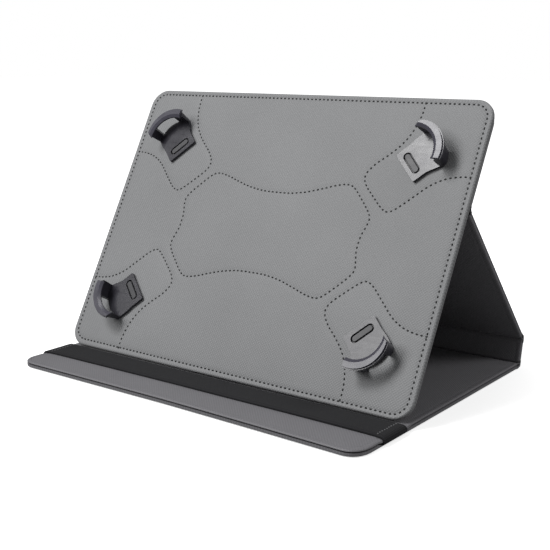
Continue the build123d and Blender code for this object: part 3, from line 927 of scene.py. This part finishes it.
# ---- tablet holder ----------------------------------------------------------------
holder_outline = Outline(HOLDER_WIDTH, 0, HOLDER_HEIGHT, HOLDER_CORNER, HOLDER_CORNER)
face = sheet("holder_face_sheet", holder, holder_outline, 0.0, -HOLDER_FACE,
             face_leather, "holder", face_relief, step=1.4,
             roll=0.9, hem=0.75)
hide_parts("holder_face")
rear = sheet("holder_back_sheet", holder, holder_outline, -HOLDER_THICK, HOLDER_BACK - HOLDER_THICK,
             edge_leather, "holder", lining_relief(8.1),
             roll=0.7, hem=0.9)
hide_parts("holder_back_lining")
upper_outline = Outline(
    COVER_WIDTH, FOLD_HEIGHT + UPPER_GAP, HOLDER_HEIGHT - UPPER_TOP_INSET,
    high_corner=HOLDER_CORNER, open_edges=("low",),
)
upper_seen = -(HOLDER_THICK + UPPER_BOARD + FRONT_SKIN)
piece = sheet("upper_back_sheet", holder, upper_outline, upper_seen, upper_seen + FRONT_SKIN,
              outer_leather, "holder", outer_relief(6.6),
              roll=0.9, hem=2.6)
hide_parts("upper_back_skin")

# how deep the stitches lie in the face and in the skins behind, and how much narrower and
# lower the edge seam runs on the upper back than on the face
FACE_SINK, REAR_SINK = 0.26, 0.25
UPPER_NARROWER, UPPER_LOWER = 0.992, 1.2
SEAM_END_GAP = 2
RUN_GAP = 8 * MM
for name, line in seam_lines.items():
    row = [(holder.at(p.x, p.y, -FACE_SINK), holder.out) for p in line]
    stitch_row(name, [row], dark_thread, "holder")
rear_row, upper_row = [], []
for p in seam_lines["seam_perimeter"]:
    if p.y < FOLD_HEIGHT - SEAM_END_GAP:
        rear_row.append((holder.at(p.x, p.y, -HOLDER_THICK + REAR_SINK), -holder.out))
    elif p.y > FOLD_HEIGHT + UPPER_GAP + SEAM_END_GAP:
        place = holder.at(p.x * UPPER_NARROWER, p.y - UPPER_LOWER, upper_seen + REAR_SINK)
        upper_row.append((place, -holder.out))


def split_runs(row):
    """Cuts a row wherever two neighbours lie further apart than a few stitches."""
    runs = [[row[0]]]
    for a, b in zip(row, row[1:]):
        if (b[0] - a[0]).length > RUN_GAP:
            runs.append([])
        runs[-1].append(b)
    return runs


stitch_row("seam_rear", split_runs(rear_row), dark_thread, "holder")
stitch_row("seam_upper_back", split_runs(upper_row), dark_thread, "holder")

# ---- slots under the clips and the elastic webs inside the holder ---------------------
SLOT_CORNER = 2.0
WEB_SEAM = 2.2              # from a web's sewn end to the seam that holds it


def clip_frame(side_x, side_v):
    """Centre of a clip's inner edge, and the directions outwards and across."""
    outwards = (holder.across * side_x + holder.up * side_v).normalized()
    centre = holder.at(side_x * CLIP_INNER_X, middle + side_v * CLIP_INNER_V, 0)
    return centre, outwards, holder.out.cross(outwards)


def slot_cutter(centre, outwards, across):
    """A rounded block that stands through the face."""
    points = []
    far, near, side = SLOT_END - SLOT_CORNER, SLOT_START + SLOT_CORNER, SLOT_HALF - SLOT_CORNER
    for cx, cy, start in ((far, side, 0), (near, side, 90), (near, -side, 180), (far, -side, 270)):
        for k in range(5):
            a = math.radians(start + 90 * k / 4)
            points.append((cx + SLOT_CORNER * math.cos(a), cy + SLOT_CORNER * math.sin(a)))
    verts = [
        centre + (outwards * s + across * w + holder.out * h) * MM
        for h in (-2.0, 2.0) for s, w in points
    ]
    count = len(points)
    faces = [tuple(range(count))[::-1], tuple(range(count, 2 * count))]
    faces += [(k, (k + 1) % count, count + (k + 1) % count, count + k) for k in range(count)]
    mesh = bpy.data.meshes.new("slot_cutter")
    mesh.from_pydata([tuple(v) for v in verts], [], faces)
    return mesh


def cut_slots(obj):
    """Cuts the four slots into the face once; the cutters don't stay in the scene."""
    joined = bmesh.new()
    for sides in CORNERS.values():
        mesh = slot_cutter(*clip_frame(*sides))
        joined.from_mesh(mesh)
        bpy.data.meshes.remove(mesh)
    cutter_mesh = bpy.data.meshes.new("slot_cutters")
    joined.to_mesh(cutter_mesh)
    joined.free()
    cutter = bpy.data.objects.new("slot_cutters", cutter_mesh)
    bpy.context.scene.collection.objects.link(cutter)
    mod = obj.modifiers.new("slots", "BOOLEAN")
    mod.operation, mod.solver, mod.object = "DIFFERENCE", "EXACT", cutter
    graph = bpy.context.evaluated_depsgraph_get()
    cut = bpy.data.meshes.new_from_object(obj.evaluated_get(graph))
    obj.modifiers.clear()
    obj.data = cut
    bpy.data.objects.remove(cutter)


def elastic_ribbon(corner, sides):
    """The web from the sewn end to the stud's foot."""
    centre, outwards, across = clip_frame(*sides)
    level = -HOLDER_FACE - HOLDER_BOARD / 2
    widths = [w / 8 for w in range(-8, 9)]
    verts, uvs = [], []
    steps = 30
    for layer in (1, -1):
        for k in range(steps + 1):
            t = k / steps
            s = ELASTIC_START + (ELASTIC_END - ELASTIC_START) * t
            waist = 1 - 0.05 * math.sin(math.pi * t)
            for w in widths:
                edge = 1 - 0.5 * max(0.0, abs(w) - 0.9) / 0.1
                h = level + layer * ELASTIC_THICK / 2 * edge
                place = outwards * s + across * (w * ELASTIC_HALF * waist) + holder.out * h
                verts.append(centre + place * MM)
                uvs.append((s, w * ELASTIC_HALF))
    ribbon = make_piece("elastic_web_" + corner, verts, band_faces(steps + 1, len(widths)), uvs,
                        web_cloth)
    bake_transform(ribbon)
    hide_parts("elastic_" + corner)
    row = [
        (centre + (outwards * (ELASTIC_START + WEB_SEAM) + across * w
                   + holder.out * (level + ELASTIC_THICK / 2)) * MM, holder.out)
        for w in [-10.0 + 2.5 * k for k in range(9)]
    ]
    stitch_row("elastic_seam_" + corner, [row], grey_thread, "holder",
               length=1.6, radius=0.25)


cut_slots(face)
for corner, sides in CORNERS.items():
    elastic_ribbon(corner, sides)

# ---- clips, studs and boards ----------------------------------------------------------
nodes = frame["nodes"]
NODE_SOFT_ANGLE, BEVEL_ANGLE = 35, 40
CLIP_BEVEL, STUD_BEVEL = 0.3, 0.12


def dress(node, material, bevel=None):
    """Gives a CAD node its finish, soft shading and, where moulded, rounded edges."""
    obj = nodes[node]
    obj.data.materials.clear()
    obj.data.materials.append(material)
    if bevel:
        mod = obj.modifiers.new("rounded_edges", "BEVEL")
        mod.width = bevel * MM
        mod.segments = 3
        mod.limit_method = "ANGLE"
        mod.angle_limit = math.radians(BEVEL_ANGLE)
    obj.data.shade_smooth()
    obj.data.set_sharp_from_angle(angle=math.radians(NODE_SOFT_ANGLE))


for node in ("front_board", "spine_board", "back_board", "holder_board", "upper_back_board"):
    dress(node, board_paper_and_shade)
for corner in CORNERS:
    dress("clip_" + corner, clip_plastic, CLIP_BEVEL)
    dress("stud_" + corner, stud_plastic, STUD_BEVEL)

# ---- floor, light and camera ----------------------------------------------------------
FLOOR_TONE, FLOOR_SEEN_EXTRA = 0.35, 0.50
FADE_START, FADE_END = 0.12, 0.28       # metres from the middle of the case
GLOW_START, GLOW_END = 0.60, 1.0
SKY, SKY_SEEN_EXTRA = 0.20, 0.8
FLOOR_REACH, FLOOR_DROP = 6.0, 0.0004
floor_mat, floor_nodes, floor_links, floor_shader = new_material("studio_floor")
floor_shader.inputs["Roughness"].default_value = 0.8
floor_shader.inputs["Specular IOR Level"].default_value = 0.0
# plain white to the camera, dimmer as a light on the object, fading into the backdrop
seen = floor_nodes.new("ShaderNodeLightPath").outputs["Is Camera Ray"]
tone = math_node(floor_nodes, floor_links, "ADD",
                 math_node(floor_nodes, floor_links, "MULTIPLY", seen, FLOOR_SEEN_EXTRA),
                 FLOOR_TONE)
floor_links.new(tone, floor_shader.inputs["Base Color"])
reach = floor_nodes.new("ShaderNodeVectorMath")
reach.operation = "LENGTH"
floor_links.new(floor_nodes.new("ShaderNodeNewGeometry").outputs["Position"], reach.inputs[0])
fade = floor_nodes.new("ShaderNodeMapRange")
fade.interpolation_type = "SMOOTHSTEP"
for socket, value in (
    ("From Min", FADE_START), ("From Max", FADE_END), ("To Min", GLOW_START), ("To Max", GLOW_END),
):
    fade.inputs[socket].default_value = value
floor_links.new(reach.outputs["Value"], fade.inputs["Value"])
floor_shader.inputs["Emission Color"].default_value = (1, 1, 1, 1)
floor_links.new(
    math_node(floor_nodes, floor_links, "MULTIPLY", fade.outputs["Result"], seen),
    floor_shader.inputs["Emission Strength"],
)
floor_mesh = bpy.data.meshes.new("floor")
floor_mesh.from_pydata(
    [(x * FLOOR_REACH, y * FLOOR_REACH, -FLOOR_DROP) for x, y in ((-1, -1), (1, -1), (1, 1), (-1, 1))],
    [], [(0, 1, 2, 3)],
)
floor_mesh.materials.append(floor_mat)
floor = bpy.data.objects.new("floor", floor_mesh)
bpy.context.scene.collection.objects.link(floor)

world = bpy.data.worlds.new("studio")
bpy.context.scene.world = world
world.use_nodes = True
sky = world.node_tree.nodes["Background"]
sky.inputs["Color"].default_value = (1, 1, 1, 1)
# plain white where the camera looks past the object, dimmer as a light on it
seen = world.node_tree.nodes.new("ShaderNodeLightPath").outputs["Is Camera Ray"]
sky_nodes, sky_links = world.node_tree.nodes, world.node_tree.links
glow = math_node(sky_nodes, sky_links, "MULTIPLY", seen, SKY_SEEN_EXTRA)
sky_links.new(math_node(sky_nodes, sky_links, "ADD", glow, SKY), sky.inputs["Strength"])


def softbox(name, place, target, width, power):
    light = bpy.data.lights.new(name, "AREA")
    light.shape = "SQUARE"
    light.size = width
    light.energy = power
    obj = bpy.data.objects.new(name, light)
    obj.location = place
    aim = Vector(target) - Vector(place)
    obj.rotation_euler = aim.to_track_quat("-Z", "Y").to_euler()
    bpy.context.scene.collection.objects.link(obj)


softbox("key", (-0.53, -0.80, 1.35), (0, 0, 0.08), width=0.55, power=15.5)
softbox("front_fill", (-0.84, -1.32, 1.02), (0, 0, 0.08), width=0.7, power=13.0)
softbox("right_side", (1.3, 0.40, 1.15), (0.05, 0, 0.02), width=0.7, power=9.0)

camera_data = bpy.data.cameras.new("camera")
camera = bpy.data.objects.new("camera", camera_data)
bpy.context.scene.collection.objects.link(camera)
bpy.context.scene.camera = camera
camera_data.sensor_width = 36.0
camera_data.lens = 67.39
camera_data.shift_x = 0.0034
camera_data.shift_y = 0.0037
camera_data.clip_start = 0.01
yaw, pitch, roll = (math.radians(degrees) for degrees in (37.12, 12.41, -0.10))
level_reach = math.cos(pitch)
forward = Vector((-math.sin(yaw) * level_reach, math.cos(yaw) * level_reach, -math.sin(pitch)))
right_hand = Vector((math.cos(yaw), math.sin(yaw), 0))
up_hand = right_hand.cross(forward)
turned_right = right_hand * math.cos(roll) + up_hand * math.sin(roll)
turned_up = up_hand * math.cos(roll) - right_hand * math.sin(roll)
# in metres, from the middle of the cover's front edge
camera_place = Vector((0.39219, front_low.y - 0.41775, 0.20217))
camera.matrix_world = Matrix((
    (turned_right.x, turned_up.x, -forward.x, camera_place.x),
    (turned_right.y, turned_up.y, -forward.y, camera_place.y),
    (turned_right.z, turned_up.z, -forward.z, camera_place.z),
    (0, 0, 0, 1),
))
bpy.context.scene.view_settings.view_transform = "Standard"
